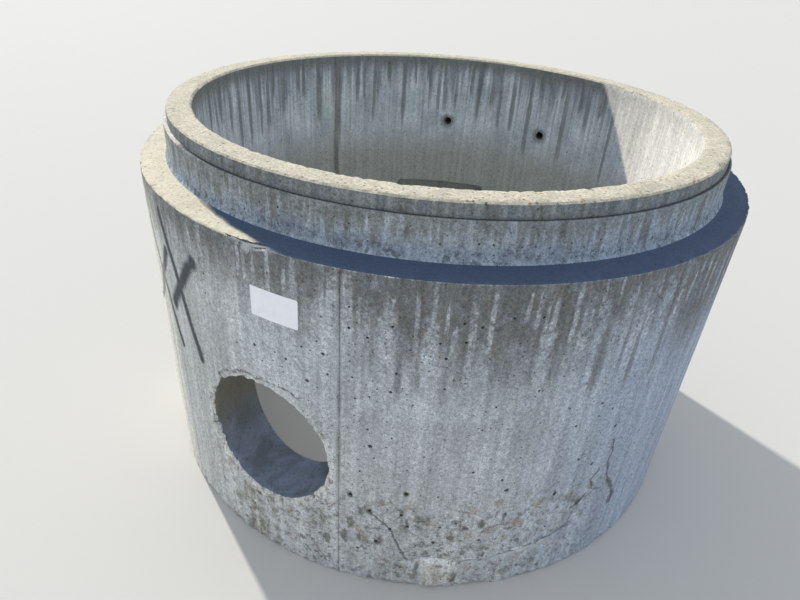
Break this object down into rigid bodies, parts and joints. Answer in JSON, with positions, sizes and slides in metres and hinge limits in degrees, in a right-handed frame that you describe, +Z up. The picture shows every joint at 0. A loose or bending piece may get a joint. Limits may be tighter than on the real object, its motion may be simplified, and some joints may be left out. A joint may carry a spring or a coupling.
{
  "type": "precast concrete manhole section",
  "caption": "Short open barrel of precast concrete for an underground access shaft, with a stepped spigot on top, a round pipe opening low in the wall and sockets for a climbing step.",
  "frame": {"origin": "centre of the base, on the barrel's axis", "axes": "+Z up along the barrel's axis; +Y towards the wall that carries the climbing step; +X to its right"},
  "size_m": [1.4731, 1.4731, 0.9144],
  "materials": {
    "concrete": "rough cast grey concrete with bug holes, streaks and grime",
    "label": "blank white adhesive label"
  },
  "bodies": {
    "root": {"manhole_section": "concrete"}
  },
  "joints": []
}
